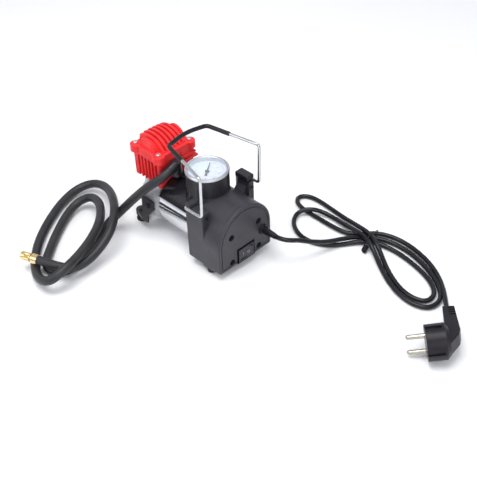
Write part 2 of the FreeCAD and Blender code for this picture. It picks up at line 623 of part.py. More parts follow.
def cylinder_head():
    plate = head_plate_outline(HEAD_BOTTOM, PLATE_TOP)
    plate = round_along(plate, 1.2, lambda m, e: abs(m.z - PLATE_TOP) < 0.01)
    ribs = [head_rib(-22.0, 22.0, 117.0, 142.5, 117.5)]
    for i in range(8):
        x = -21.0 + 6.0 * i
        low, high = (117.0, 143.2) if abs(x) > 16 else (110.0, 151.0)
        ribs.append(head_rib(x - 1.6, x + 1.6, low, high, 122.3 - 0.005 * x * x))
    chambers = [rod_z(9, HEAD_BOTTOM, 111, s * 9.6, PUMP_Y) for s in (-1, 1)]
    holes = [rod_z(1.7, 100, 109, x, y) for x, y in HEAD_SCREWS]
    return cut(fuse([plate] + ribs), chambers + holes)


def head_screw(x, y):
    seat = PLATE_TOP
    head = rod_z(2.7, seat, seat + 2.2, x, y)
    head = round_along(head, 0.7, lambda m, e: abs(m.z - seat - 2.2) < 0.01)
    shank = rod_z(1.6, 75, seat, x, y)
    return head.fuse(shank).cut(hexagon(x, y, 1.5, seat + 0.9, seat + 3))


def hexagon(x, y, radius, z0, z1):
    points = [(x + radius * math.cos(math.pi * i / 3), y + radius * math.sin(math.pi * i / 3), z0)
              for i in range(6)]
    return prism(points, (0, 0, z1 - z0))


def valve_plate():
    plate = head_plate_outline(BLOCK_TOP, HEAD_BOTTOM)
    holes = [rod_z(1.7, 98, 102, x, y) for x, y in HEAD_SCREWS]
    ports = [rod_z(2.5, 98, 102, s * 8, PUMP_Y) for s in (-1, 1)]
    return cut(plate, holes + ports)


def make_pump():
    save(saddle_cover(), "saddle_cover")
    save(crankcase(), "crankcase")
    save(crankcase_cover(), "crankcase_cover")
    save_group(case_cover_screws(), "crankcase_screws")
    save(cylinder_block(), "cylinder_block")
    save(rod_z(17, CASE_TOP, BLOCK_TOP, 0, PUMP_Y).cut(rod_z(BORE_R, CASE_TOP, BLOCK_TOP, 0, PUMP_Y)),
         "cylinder_liner")
    piston, seal = piston_parts()
    save(piston, "piston")
    save(seal, "piston_seal")
    save(connecting_rod(), "connecting_rod")
    wrist_z = AXIS_Z + CRANK_R + ROD_LENGTH
    save(rod_y(2.2, PUMP_Y - WRIST_PIN_HALF, PUMP_Y + WRIST_PIN_HALF, 0, wrist_z), "wrist_pin")
    reeds = [box(s * 8 - 3.4, s * 8 + 3.4, PUMP_Y - 3.4, PUMP_Y + 7, HEAD_BOTTOM, HEAD_BOTTOM + 0.4)
             for s in (-1, 1)]
    save_group([valve_plate()] + reeds, "valve_plate")
    save(cylinder_head(), "cylinder_head")
    save_group([head_screw(x, y) for x, y in HEAD_SCREWS], "head_screws")


# ---------------------------------------------------------------- front bracket and feet
def foot_bracket():
    outline = [(33.7, 114.3, 48), (33.7, 133, 49), (33.7, 136, 30), (33.7, 136, 11), (33.7, 129, 11),
               (33.7, 127, 22), (33.7, 114.3, 37)]
    cheek = prism(outline, (2.4, 0, 0))
    arm = prism([(36.1, 129, 11), (36.1, 139, 11), (32, 152, 11), (25, 145, 11), (33.7, 129, 11)], (0, 0, 3))
    ear_disc = rod_z(7.5, 11, 14, 25, 152)
    strap = box(0, 25, 147, 157, 11, 14)
    whole = fuse(both_sides(fuse([cheek, arm, ear_disc, strap])))
    holes = both_sides(rod_z(2.0, 10, 15, 25, 152)) + both_sides(rod_x(2.0, 33, 37, 124.0, 39.0))
    return cut(whole, holes)


def front_foot(x):
    profile = [(0, 0), (7.1, 0), (7.5, 0.5), (7.5, 2.6), (4.6, 4.2), (4.6, 6.8), (7.5, 8.4), (7.5, 11),
               (0, 11)]
    return revolve_z(profile, x, 152.0).cut(rod_z(2.0, 4, 11, x, 152.0))


def foot_screw(x):
    head = rod_z(3.6, 14, 16, x, 152.0).cut(box(x - 3, x + 3, 151.6, 152.4, 15.2, 16.5))
    return head.fuse(rod_z(2.0, 4.5, 14, x, 152.0))


def bracket_screw(side):
    head = rod_x(3.4, 36.1, 38.2, 124.0, 39.0).cut(box(37.4, 39, 121.6, 126.4, 38.6, 39.4))
    whole = head.fuse(rod_x(2.0, 27, 36.1, 124.0, 39.0))
    return whole if side > 0 else whole.mirror(V(0, 0, 0), V(1, 0, 0))


def make_bracket():
    save(foot_bracket(), "foot_bracket")
    save_group([front_foot(x) for x in (-25, 25)], "front_feet")
    save_group([foot_screw(x) for x in (-25, 25)] + [bracket_screw(s) for s in (-1, 1)], "bracket_screws")


# ---------------------------------------------------------------- gauge
def gauge_case():
    outer = rod_z(GAUGE_R, GAUGE_BOTTOM, GAUGE_CASE_TOP, 0, GAUGE_Y)
    inner = rod_z(22.5, GAUGE_BOTTOM + 2, GAUGE_CASE_TOP, 0, GAUGE_Y)
    ledge = rod_z(22.5, DIAL_Z - 2.5, DIAL_Z - 0.6, 0, GAUGE_Y).cut(rod_z(20.5, 95, DIAL_Z, 0, GAUGE_Y))
    return cut(fuse([outer.cut(inner), ledge]), [rod_z(4.2, 80, 84, 0, GAUGE_Y)])


def gauge_bezel():
    """Rim round the top of the case with a sleeve that reaches down to the dial."""
    rim = GAUGE_CASE_TOP
    profile = [(22.45, rim), (24.9, rim), (24.9, 105.2), (24.2, 106), (22.6, 106), (LENS_R, 105.2),
               (LENS_R, DIAL_Z + 0.1), (22.45, DIAL_Z + 0.1)]
    return revolve_z(profile, 0, GAUGE_Y)


def needle():
    tail, tip, low = -8.0, 17.0, DIAL_Z + 0.6
    half_widths = [(tail, 1.5), (-2.5, 0.8), (0, 0.9), (tip, 0.3)]
    side = [(x, GAUGE_Y + w, low) for x, w in half_widths]
    other = [(x, GAUGE_Y - w, low) for x, w in reversed(half_widths)]
    blade = prism(side + other, (0, 0, 0.35))
    hub = rod_z(2.4, low - 0.2, low + 0.6, 0, GAUGE_Y)
    spindle = rod_z(0.8, 84.6, low, 0, GAUGE_Y)
    whole = fuse([blade, hub, spindle])
    whole.rotate(V(0, GAUGE_Y, 0), V(0, 0, 1), NEEDLE_REST_DEG)
    return whole


def bourdon_tube():
    centre = V(0, GAUGE_Y, 92)
    ring = Part.makeTorus(15, 1.8, centre, V(0, 0, 1), -180, 180, 270)
    block = box(13, 18, GAUGE_Y - 6, GAUGE_Y, 88, 94.5)
    return ring.fuse(block)


def make_gauge():
    save(gauge_case(), "gauge_case")
    save(gauge_bezel(), "gauge_bezel")
    dial = rod_z(22.3, DIAL_Z - 0.6, DIAL_Z, 0, GAUGE_Y).cut(rod_z(1.0, DIAL_Z - 1, DIAL_Z + 1, 0, GAUGE_Y))
    save(dial, "gauge_dial")
    save(needle(), "gauge_needle")
    save(rod_z(LENS_R, 103.4, 104.8, 0, GAUGE_Y), "gauge_lens")
    spindle_hole = rod_z(0.8 + RUNNING_GAP, 84, 88, 0, GAUGE_Y)
    movement = box(-9, 9, GAUGE_Y - 7, GAUGE_Y + 7, 84.2, 87).cut(spindle_hole)
    save_group([movement, bourdon_tube()], "gauge_movement")
    stem = fuse([rod_z(4.2, 75.2, 83.2, 0, GAUGE_Y), box(-7, 18, GAUGE_Y - 6, GAUGE_Y + 6, 83.2, 84.2),
                 box(13, 18, GAUGE_Y - 6, GAUGE_Y, 84.2, 88)])
    save(stem.cut(rod_y(1.5, GAUGE_Y, GAUGE_Y + 5, 0, 77.0)), "gauge_stem")
    save(rod_y(1.5, GAUGE_Y + 0.5, 111.5, 0, 77.0), "gauge_feed_pipe")


# ---------------------------------------------------------------- handle and hook
def handle_points():
    """Wire from pivot to pivot; its crossbar is slightly bowed up and forward."""
    left = [(-35.6, PIVOT_Y, PIVOT_Z), (-43, PIVOT_Y, PIVOT_Z), (-43, 20, 81.5), (-43, 18.7, 131),
            (-28, 84.5, 134.8)]
    return left + [BAR_MIDDLE] + [(-x, y, z) for x, y, z in reversed(left)]


def handle_frame():
    points = handle_points()
    radii = [2.6, 4.0, 4.0, 6.0, 90.0, 6.0, 4.0, 4.0, 2.6]
    return pipe(bent_path(points, radii), WIRE_R, points[0], points[1])


def handle_sleeve(frame_wire):
    corner, before = V(*handle_points()[4]), V(*handle_points()[3])
    end = corner + (before - corner).normalize() * SLEEVE_LEG
    left = [tuple(end), tuple(corner)]
    points = left + [BAR_MIDDLE] + [(-x, y, z) for x, y, z in reversed(left)]
    outer = pipe(bent_path(points, [6.0, 90.0, 6.0]), SLEEVE_R, points[0], points[1])
    return outer.cut(frame_wire)


def hook_bracket():
    neck = box(33, 39.5, 28, 42, POST_TOP, 87)
    plate = box(29.8, 40.6, 25.5, 44.5, 86.8, 91.8)
    plate = round_along(plate, 1.0, lambda m, e: m.z > 89)
    return neck.fuse(plate)


def make_handle():
    frame_wire = handle_frame()
    save(frame_wire, "handle_frame")
    save(handle_sleeve(frame_wire), "handle_sleeve")
    save(hook_bracket(), "hook_bracket")


# ---------------------------------------------------------------- hose, nozzle, lead and plug
def along(points, i, j):
    return (V(*points[j]) - V(*points[i])).normalize()


def hose_elbow():
    start = V(*HOSE_ROUTE[0])
    direction = along(HOSE_ROUTE, 0, 1)
    barrel = rod_z(6.2, 81, 98.8, -8, 99)
    nut = hexagon(-8, 99, 7.0, 81.5, 84.5)
    spigot = rod_y(4.0, 99, 112.0, -8, 88)
    stub = Part.makeCylinder(5.7, 9.0, start - direction * 9.0, direction)
    return fuse([barrel, nut, spigot, stub])


def nozzle_parts():
    base = V(*HOSE_ROUTE[-1])
    direction = along(HOSE_ROUTE, -2, -1)
    ferrule = Part.makeCylinder(5.8, 7.5, base - direction * 4.5, direction)
    ferrule = ferrule.cut(Part.makeCylinder(HOSE_D / 2, 4.5, base - direction * 4.5, direction))
    stem = fuse([
        Part.makeCylinder(3.6, 2.0, base + direction * 3, direction),
        Part.makeCylinder(2.6, 8.0, base + direction * 3, direction),
        Part.makeCylinder(3.2, 1.2, base + direction * 10.9, direction),
    ])
    collar = Part.makeCylinder(4.9, NUT_LENGTH, base + direction * 5.2, direction)
    rear_bore = Part.makeCylinder(2.6 + RUNNING_GAP, NUT_LENGTH, base + direction * 5.2, direction)
    flange_room = Part.makeCylinder(3.3, 2.0, base + direction * 10.8, direction)
    valve_mouth = 5.2 + NUT_LENGTH - VALVE_DEPTH
    valve_bore = Part.makeCylinder(VALVE_R, VALVE_DEPTH, base + direction * valve_mouth, direction)
    collar = cut(collar, [rear_bore, flange_room, valve_bore])
    return ferrule, stem, collar


def plug_frame():
    """Face centre, pin direction, lead-arm direction and the line between the two pins.

    The plug rests on the front rim of its round body, so its pins dip towards the floor.
    """
    face = V(23.8, -223.3, 18.2)
    turn, dip, lean = math.radians(133), math.radians(10), math.radians(8)
    pins = V(math.cos(dip) * math.cos(turn), math.cos(dip) * math.sin(turn), -math.sin(dip))
    level = V(math.sin(turn), -math.cos(turn), 0)
    rise = level.cross(pins)
    arm = level * math.cos(lean) - rise * math.sin(lean)
    across = rise * math.cos(lean) + level * math.sin(lean)
    return face, pins, arm, across


def plug_spot(k, b, c):
    """Point k behind the face, b along the lead arm and c along the line between the pins."""
    face, pins, arm, across = plug_frame()
    return face - pins * k + arm * b + across * c


def plug_slab(outline, c0, c1):
    """Slab with an outline in the plane of the pins' direction and the lead arm."""
    points = [tuple(plug_spot(k, b, c0)) for k, b in outline]
    across = plug_frame()[3]
    return prism(points, tuple(across * (c1 - c0)))


def plug_arm():
    """Arm square to the pins, pointed at its foot, with short grooves beside its end."""
    foot = [(16, -12.5), (22.3, -13.2), (32.4, 0.2), (34.5, 7)]
    outline = foot + [(34.5, 44.6), (22.8, 46.3), (20.6, 18), (16, 16)]
    block = plug_slab(outline, -7.8, 7.8)
    block = block.makeFillet(1.2, block.Edges)
    grooves = []
    for i in range(4):
        b = 30.5 + 3.6 * i
        grooves.append(plug_slab([(31.2, b), (37, b), (37, b + 1.4), (31.2, b + 1.4)], -9, 9))
        for c0, c1 in ((-9, -6.6), (6.6, 9)):
            grooves.append(plug_slab([(27.5, b), (32, b), (32, b + 1.4), (27.5, b + 1.4)], c0, c1))
    return cut(block, grooves)


def plug_grooves(face, back, directions):
    """Straight grooves along the round body, open towards its face."""
    grooves = []
    for direction in directions:
        groove = box(-1.8, 1.8, -2.4, 2.4, -1, GROOVE_LENGTH)
        turn = FreeCAD.Rotation(direction, back.cross(direction), back, "ZXY")
        groove.Placement = FreeCAD.Placement(face + direction * PLUG_R, turn)
        grooves.append(groove)
    return grooves


def plug_parts(lead):
    face, pins, arm, across = plug_frame()
    back = pins * -1
    disc = Part.makeCylinder(PLUG_R, PLUG_DEPTH, face, back)
    taper = Part.makeCone(PLUG_R, 14.5, 3.5, face + back * PLUG_DEPTH, back)
    body = fuse([disc, taper, plug_arm()])
    pin_solids = []
    for s in (-1, 1):
        root = face + across * (s * 9.5)
        shank = Part.makeCylinder(1.8, 6.5, root + back * 6, pins)
        pin = Part.makeCylinder(2.4, PIN_STRAIGHT, root, pins)
        tip = Part.makeSphere(2.4, root + pins * PIN_STRAIGHT)
        pin_solids.append(fuse([shank, pin, tip]))
    grooves = plug_grooves(face, back, [across, across * -1, arm, arm * -1])
    return cut(body, grooves + pin_solids + [lead]), pin_solids


def cord_tie():
    """Band closed round the bundle where the lead's strands cross."""
    half_wide, thick, width = 14.9, 0.9, 2.6
    low, high = 0.2, 15.0
    outer = box(-half_wide, half_wide, -width / 2, width / 2, low, high)
    outer = round_along(outer, 4.0, lambda m, e: abs(abs(m.x) - half_wide) < 0.01 and abs(m.y) < 0.01)
    inner = box(-half_wide + thick, half_wide - thick, -width, width, low + thick, high - thick)
    inner = round_along(inner, 3.1, lambda m, e: abs(abs(m.x) - half_wide + thick) < 0.01 and abs(m.y) < 0.01)
    band = outer.cut(inner)
    band.rotate(V(0, 0, 0), V(0, 0, 1), 12.0)
    band.translate(V(126.4, -71.9, 0))
    return band


def make_cords():
    save(hose_elbow(), "hose_elbow")
    save(cord_tube(HOSE_ROUTE, HOSE_D, "air_hose"), "air_hose")
    ferrule, stem, collar = nozzle_parts()
    save(ferrule, "hose_ferrule")
    save(stem, "nozzle_stem")
    save(collar, "nozzle_collar")
    lead = cord_tube(CORD_ROUTE, CORD_D, "power_cord")
    save(lead, "power_cord")
    body, pin_solids = plug_parts(lead)
    save(body, "plug_body")
    save_group(pin_solids, "plug_pins")
    save(cord_tie(), "cord_tie")


make_housing()
make_electrics()
make_motor()
make_pump()
make_bracket()
make_gauge()
make_handle()
make_cords()
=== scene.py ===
import json
import math

import bmesh
import bpy
from mathutils import Matrix, Vector


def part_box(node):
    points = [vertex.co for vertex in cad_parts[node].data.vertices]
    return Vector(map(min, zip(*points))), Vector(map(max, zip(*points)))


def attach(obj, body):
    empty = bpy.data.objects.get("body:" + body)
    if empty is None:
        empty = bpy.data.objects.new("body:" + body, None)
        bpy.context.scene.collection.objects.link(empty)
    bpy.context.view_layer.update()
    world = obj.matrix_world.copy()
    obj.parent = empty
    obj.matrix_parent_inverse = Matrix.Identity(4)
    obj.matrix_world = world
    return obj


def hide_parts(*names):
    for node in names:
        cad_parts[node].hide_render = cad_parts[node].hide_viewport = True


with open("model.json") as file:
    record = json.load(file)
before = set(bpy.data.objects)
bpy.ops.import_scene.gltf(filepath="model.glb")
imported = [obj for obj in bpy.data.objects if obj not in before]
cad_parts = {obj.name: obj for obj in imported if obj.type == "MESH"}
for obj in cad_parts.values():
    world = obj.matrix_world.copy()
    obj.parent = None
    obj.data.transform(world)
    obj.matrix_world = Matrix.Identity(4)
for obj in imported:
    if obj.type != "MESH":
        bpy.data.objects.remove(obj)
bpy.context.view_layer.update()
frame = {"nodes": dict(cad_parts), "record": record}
NODES = frame["nodes"]

# Sizes are in millimetres while a piece is drawn: x across, y forward from the rear cover's outer face,
# z up from the floor. at() turns such a point into the frame's metres.
MM = 0.001
REAR_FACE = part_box("rear_cover")[0][1]


def at(x, y, z):
    return Vector((x * MM, y * MM + REAR_FACE, z * MM))


GAUGE_Y = 56.6

# Centrelines of the hose, from the elbow to the nozzle, and of the lead, from the gland to the plug.
HOSE_D = 10.4
HOSE_ROUTE = [
    (-17.5, 99.0, 91.4), (-31.5, 99.5, 86.0), (-38.5, 115.0, 72.5), (-45.0, 136.0, 49.0),
    (-53.5, 153.5, 26.5), (-67.5, 164.5, 10.0), (-90.0, 157.0, 5.5), (-113.0, 146.0, 5.5),
    (-133.0, 135.0, 5.5), (-151.0, 134.0, 5.5), (-163.0, 145.0, 5.5), (-159.0, 163.0, 5.5),
    (-141.0, 180.0, 5.5), (-115.0, 201.5, 5.5), (-86.5, 220.5, 7.0), (-66.0, 225.0, 11.0),
    (-54.0, 213.0, 18.0), (-62.0, 182.5, 26.0), (-85.0, 152.0, 30.0), (-112.0, 133.0, 30.0),
    (-139.0, 121.5, 28.0), (-165.5, 115.5, 26.0), (-181.5, 120.5, 18.0), (-181.0, 145.0, 9.0),
    (-167.0, 173.0, 5.5), (-145.0, 199.5, 5.5), (-111.5, 226.0, 5.5), (-73.5, 248.0, 5.5),
    (-45.5, 252.0, 8.0), (-30.0, 237.5, 14.0), (-34.0, 203.5, 24.0), (-57.5, 158.5, 36.0),
    (-83.5, 129.5, 34.0), (-104.5, 123.0, 23.0), (-131.0, 119.0, 16.0), (-150.0, 122.5, 16.0),
    (-159.5, 136.5, 18.0), (-165.0, 151.5, 18.5), (-169.5, 163.5, 18.5),
]

CORD_D = 5.4
CORD_ROUTE = [
    (27.7, -20.0, 35.3), (27.7, -28.5, 36.5), (34.0, -36.5, 35.5), (44.0, -38.0, 30.8),
    (60.5, -44.5, 22.0), (80.0, -50.5, 13.5), (99.0, -55.5, 9.0), (116.5, -62.0, 5.5),
    (127.5, -72.5, 4.3), (136.5, -86.0, 3.0), (140.5, -104.0, 3.0), (138.5, -127.5, 3.0),
    (131.0, -150.5, 3.0), (121.0, -170.0, 3.0), (109.0, -185.0, 3.0), (95.5, -193.0, 3.0),
    (80.0, -190.0, 3.0), (73.5, -177.0, 3.0), (74.5, -157.0, 3.0), (83.5, -135.0, 3.0),
    (97.0, -113.5, 3.0), (108.0, -97.5, 5.5), (114.5, -84.5, 11.2), (120.5, -67.0, 11.2),
    (124.0, -45.0, 7.0), (129.5, -21.0, 3.0), (126.5, -3.0, 6.0), (116.5, 9.0, 9.5),
    (106.5, 18.5, 5.0), (90.0, 11.5, 3.0), (78.5, -6.0, 3.0), (76.0, -24.0, 3.0),
    (81.5, -40.5, 3.0), (91.0, -53.0, 3.0), (105.0, -62.5, 3.0), (116.0, -71.5, 4.3),
    (124.5, -82.0, 4.3), (129.5, -97.0, 3.0), (129.5, -116.5, 3.0), (125.5, -138.5, 3.0),
    (119.5, -158.0, 3.0), (111.0, -173.5, 3.0), (100.0, -183.0, 3.0), (86.5, -183.0, 3.0),
    (81.0, -171.5, 3.0), (82.0, -155.0, 3.0), (90.0, -136.0, 3.0), (102.5, -116.5, 3.0),
    (113.5, -101.0, 5.5), (120.5, -88.0, 11.2), (127.5, -71.5, 11.2), (131.5, -52.5, 8.5),
    (138.0, -28.0, 3.0), (141.0, -5.0, 3.0), (143.5, 16.0, 3.0), (142.0, 32.0, 3.0),
    (133.0, 40.0, 3.0), (123.5, 35.5, 3.0), (118.5, 23.5, 3.0), (117.0, 10.0, 3.0),
    (116.5, -5.5, 3.0), (115.5, -28.0, 3.0), (117.0, -49.5, 3.0), (126.5, -63.0, 4.3),
    (140.0, -74.0, 4.0), (148.5, -91.0, 3.0), (149.5, -112.5, 3.0), (144.0, -137.5, 3.0),
    (135.0, -158.0, 3.0), (123.0, -175.0, 3.0), (109.0, -188.5, 5.2), (91.0, -202.4, 9.8),
    (73.8, -215.6, 15.1),
]


# ---------------------------------------------------------------- camera
CAMERA_PLACE = (-469.3, -487.3, 598.3)
CAMERA_YAW, CAMERA_PITCH, CAMERA_ROLL = 0.7553, 0.6911, -0.04  # radians: right of +Y, down, anticlockwise
SENSOR_WIDTH = 36.0
FOCAL_LENGTH = 60.38
CLIP_M = (0.01, 20)


def make_camera():
    """Camera that looks down at the rear cover and the left side of the machine."""
    yaw, pitch, roll = CAMERA_YAW, CAMERA_PITCH, CAMERA_ROLL
    level = Vector((math.sin(yaw), math.cos(yaw), 0))
    right = Vector((math.cos(yaw), -math.sin(yaw), 0))
    forward = level * math.cos(pitch) - Vector((0, 0, 1)) * math.sin(pitch)
    up = level * math.sin(pitch) + Vector((0, 0, 1)) * math.cos(pitch)
    side = right * math.cos(roll) + up * math.sin(roll)
    top = up * math.cos(roll) - right * math.sin(roll)
    data = bpy.data.cameras.new("camera")
    data.sensor_width = SENSOR_WIDTH
    data.lens = FOCAL_LENGTH
    data.clip_start, data.clip_end = CLIP_M
    camera = bpy.data.objects.new("camera", data)
    bpy.context.collection.objects.link(camera)
    rotation = Matrix((side, top, -forward)).transposed().to_4x4()
    camera.matrix_world = Matrix.Translation(at(*CAMERA_PLACE)) @ rotation
    bpy.context.scene.camera = camera


make_camera()


# ---------------------------------------------------------------- materials
NOISE_ROUGHNESS = 0.55
# Where a colour ramp over a noise starts and ends.
SHARP_STEP = (0.35, 0.65)
SOFT_STEP = (0.3, 0.7)


class Mat:
    """A node material with object coordinates in metres as its texture space."""

    def __init__(self, name):
        self.material = bpy.data.materials.new(name)
        self.material.use_nodes = True
        self.tree = self.material.node_tree
        self.shader = self.tree.nodes["Principled BSDF"]
        self.coords = self.add("ShaderNodeTexCoord").outputs["Object"]

    def add(self, kind, **inputs):
        node = self.tree.nodes.new(kind)
        for key, value in inputs.items():
            node.inputs[key.replace("_", " ")].default_value = value
        return node

    def link(self, source, target):
        self.tree.links.new(source, target)

    def set(self, **inputs):
        for key, value in inputs.items():
            self.shader.inputs[key.replace("_", " ")].default_value = value

    def stretched(self, scale):
        mapping = self.add("ShaderNodeMapping")
        mapping.inputs["Scale"].default_value = scale
        self.link(self.coords, mapping.inputs["Vector"])
        return mapping.outputs["Vector"]

    def noise(self, scale, detail, vector=None):
        """Noise with this many cycles per metre and this many finer layers."""
        node = self.add("ShaderNodeTexNoise", Scale=scale, Detail=detail, Roughness=NOISE_ROUGHNESS)
        self.link(vector or self.coords, node.inputs["Vector"])
        return node.outputs["Fac"]

    def ramp(self, value, low, high, step=SHARP_STEP):
        """Colour that goes from low to high while the value crosses the step."""
        node = self.add("ShaderNodeValToRGB")
        for element, colour, position in zip(node.color_ramp.elements, (low, high), step):
            element.position = position
            element.color = (*colour, 1)
        self.link(value, node.inputs["Fac"])
        return node.outputs["Color"]

    def span(self, value, low, high):
        """Number that goes from low to high with the value."""
        node = self.add("ShaderNodeMapRange")
        node.inputs["To Min"].default_value = low
        node.inputs["To Max"].default_value = high
        self.link(value, node.inputs["Value"])
        return node.outputs["Result"]

    def colour(self, value):
        self.link(value, self.shader.inputs["Base Color"])

    def rough(self, value):
        self.link(value, self.shader.inputs["Roughness"])

    def bump(self, *layers):
        """layers: (height output, strength, distance in metres), laid over each other."""
        normal = None
        for height, strength, distance in layers:
            node = self.add("ShaderNodeBump", Strength=strength, Distance=distance)
            self.link(height, node.inputs["Height"])
            if normal:
                self.link(normal, node.inputs["Normal"])
            normal = node.outputs["Normal"]
        self.link(normal, self.shader.inputs["Normal"])


# The makers below take the darkest and lightest colour first. Where they take more, it is the smoothest and
# roughest gloss, and then how strong the grain, coat or reflection is.
def moulded_plastic(name, low, high, rough_low, rough_high, grain=0.25, shine=0.4):
    m = Mat(name)
    m.set(Specular_IOR_Level=shine)
    m.colour(m.ramp(m.noise(60, 4), low, high, SOFT_STEP))
    m.rough(m.span(m.noise(220, 3), rough_low, rough_high))
    m.bump((m.noise(1600, 2), grain, 0.00015), (m.noise(90, 2), 0.05, 0.0006))
    return m.material


def painted_casting(name, low, high):
    m = Mat(name)
    m.colour(m.ramp(m.noise(75, 5), low, high, SOFT_STEP))
    m.rough(m.span(m.noise(400, 3), 0.34, 0.46))
    m.set(Specular_IOR_Level=0.3)
    m.bump((m.noise(850, 3), 0.16, 0.0003), (m.noise(140, 2), 0.16, 0.0008))
    return m.material


def metal(name, low, high, rough_low, rough_high, stretch, grain):
    """Polished or brushed metal; stretch is the cycles per metre of its fine lines along each axis."""
    m = Mat(name)
    m.set(Metallic=1.0)
    lines = m.noise(1.0, 4, m.stretched(stretch))
    m.colour(m.ramp(m.noise(45, 4), low, high, SOFT_STEP))
    m.rough(m.span(lines, rough_low, rough_high))
    m.bump((lines, grain, 0.0001))
    return m.material


def cast_metal(name, low, high):
    m = Mat(name)
    m.set(Metallic=0.75)
    m.colour(m.ramp(m.noise(160, 5), low, high, SOFT_STEP))
    m.rough(m.span(m.noise(500, 4), 0.42, 0.62))
    m.bump((m.noise(1100, 4), 0.3, 0.0003))
    return m.material


def rubber(name, low, high, rough_low, rough_high, coat=0.0, shine=0.4):
    m = Mat(name)
    m.set(Specular_IOR_Level=shine)
    m.colour(m.ramp(m.noise(70, 4), low, high, SOFT_STEP))
    m.rough(m.span(m.noise(300, 3), rough_low, rough_high))
    m.set(Coat_Weight=coat, Coat_Roughness=0.35)
    m.bump((m.noise(2200, 2), 0.15, 0.00012), (m.noise(120, 2), 0.1, 0.0006))
    return m.material


def dial_card():
    m = Mat("dial_card")
    m.colour(m.ramp(m.noise(40, 3), (0.56, 0.64, 0.74), (0.64, 0.72, 0.82)))
    m.rough(m.span(m.noise(600, 2), 0.45, 0.6))
    m.bump((m.noise(2500, 2), 0.05, 0.0001))
    return m.material


def clear_window():
    m = Mat("clear_window")
    m.set(Base_Color=(0.9, 0.93, 0.96, 1), Alpha=0.1, Specular_IOR_Level=0.5)
    m.rough(m.span(m.noise(30, 2), 0.02, 0.06))
    return m.material


def printed_ink(name, low, high):
    m = Mat(name)
    m.colour(m.ramp(m.noise(900, 2), low, high))
    m.rough(m.span(m.noise(500, 2), 0.4, 0.6))
    return m.material


def pale_floor():
    m = Mat("pale_floor")
    m.colour(m.ramp(m.noise(2, 2), (0.86, 0.865, 0.88), (0.88, 0.885, 0.895)))
    m.rough(m.span(m.noise(8, 2), 0.7, 0.8))
    return m.material


BLACK = moulded_plastic("black_plastic", (0.027, 0.026, 0.034), (0.037, 0.036, 0.045), 0.38, 0.5, 0.18)
BLACK_GLOSS = moulded_plastic("black_gloss", (0.010, 0.010, 0.013), (0.016, 0.016, 0.020), 0.12, 0.2, 0.03)
BLACK_SATIN = moulded_plastic("black_satin", (0.012, 0.012, 0.015), (0.020, 0.020, 0.024), 0.32, 0.44, 0.12)
BLACK_PLUG = moulded_plastic("plug_plastic", (0.009, 0.008, 0.011), (0.016, 0.014, 0.019), 0.3, 0.42, 0.12,
                             shine=0.22)
PINS = metal("pin_nickel", (0.42, 0.39, 0.33), (0.50, 0.47, 0.40), 0.14, 0.24, (300, 300, 300), 0.04)
RED = painted_casting("red_casting", (0.70, 0.018, 0.022), (0.85, 0.036, 0.040))
CAN = metal("nickel_can", (0.62, 0.63, 0.66), (0.72, 0.73, 0.76), 0.08, 0.14, (25, 1800, 25), 0.02)
WIRE = metal("chrome_wire", (0.54, 0.55, 0.57), (0.64, 0.65, 0.67), 0.05, 0.12, (300, 300, 300), 0.03)
STEEL = metal("screw_steel", (0.55, 0.55, 0.56), (0.72, 0.72, 0.73), 0.2, 0.35, (900, 900, 900), 0.1)
BRASS = metal("brass", (0.74, 0.54, 0.24), (0.90, 0.71, 0.38), 0.18, 0.3, (700, 700, 700), 0.1)
COPPER = metal("copper", (0.55, 0.22, 0.10), (0.70, 0.32, 0.16), 0.25, 0.4, (500, 500, 500), 0.1)
CAST = cast_metal("cast_grey", (0.40, 0.41, 0.43), (0.56, 0.57, 0.60))
MAGNET = cast_metal("dark_magnet", (0.05, 0.05, 0.055), (0.09, 0.09, 0.10))
SATIN_METAL = metal("satin_metal", (0.60, 0.61, 0.64), (0.70, 0.71, 0.74), 0.3, 0.42, (200, 200, 200), 0.04)
# The switch seal is partly painted shade: near-black and nearly glossless, darker than real rubber, so it
# stands for the shaded gap round the rocker.
SEAL_AND_SHADE = rubber("switch_seal_and_shade", (0.001, 0.001, 0.002), (0.003, 0.003, 0.004), 0.8, 0.9, shine=0.05)
RUBBER = rubber("foot_rubber", (0.012, 0.012, 0.014), (0.024, 0.024, 0.027), 0.6, 0.75)
HOSE = rubber("hose_rubber", (0.015, 0.015, 0.018), (0.026, 0.026, 0.030), 0.4, 0.52)
JACKET = rubber("lead_jacket", (0.006, 0.006, 0.009), (0.012, 0.012, 0.016), 0.2, 0.3, coat=0.04, shine=0.3)
DIAL = dial_card()
WINDOW = clear_window()
BOARD = moulded_plastic("circuit_board", (0.05, 0.16, 0.07), (0.08, 0.22, 0.10), 0.4, 0.5)
INK = printed_ink("dial_ink", (0.24, 0.28, 0.34), (0.34, 0.38, 0.44))
INK_RED = printed_ink("dial_ink_red", (0.70, 0.22, 0.22), (0.80, 0.30, 0.28))
WHITE_MARK = printed_ink("white_mark", (0.20, 0.20, 0.21), (0.28, 0.28, 0.29))

SLOT_MATERIAL = {
    "black_plastic": BLACK, "black_gloss": BLACK_SATIN, "black_metal": BLACK_SATIN, "chrome_can": CAN,
    "chrome_wire": WIRE, "cast_grey": CAST, "red_cast": RED, "steel": STEEL, "brass": BRASS,
    "copper": COPPER, "rubber": RUBBER, "cord_rubber": JACKET, "white_dial": DIAL, "clear": WINDOW,
    "magnet": MAGNET, "board": BOARD, "gasket": RED,
}
# Nodes whose finish differs from the rest of their slot.
NODE_MATERIAL = {
    "saddle_cover": BLACK_GLOSS, "bracket_screws": BLACK_SATIN, "switch_rocker": BLACK, "switch_body": BLACK,
    "gauge_case": BLACK_SATIN, "hook_bracket": BLACK_SATIN, "plug_body": BLACK_PLUG, "plug_pins": PINS,
    "gauge_bezel": SATIN_METAL, "cable_gland": JACKET, "handle_sleeve": JACKET,
}


def paint(obj, material):
    obj.data.materials.clear()
    obj.data.materials.append(material)


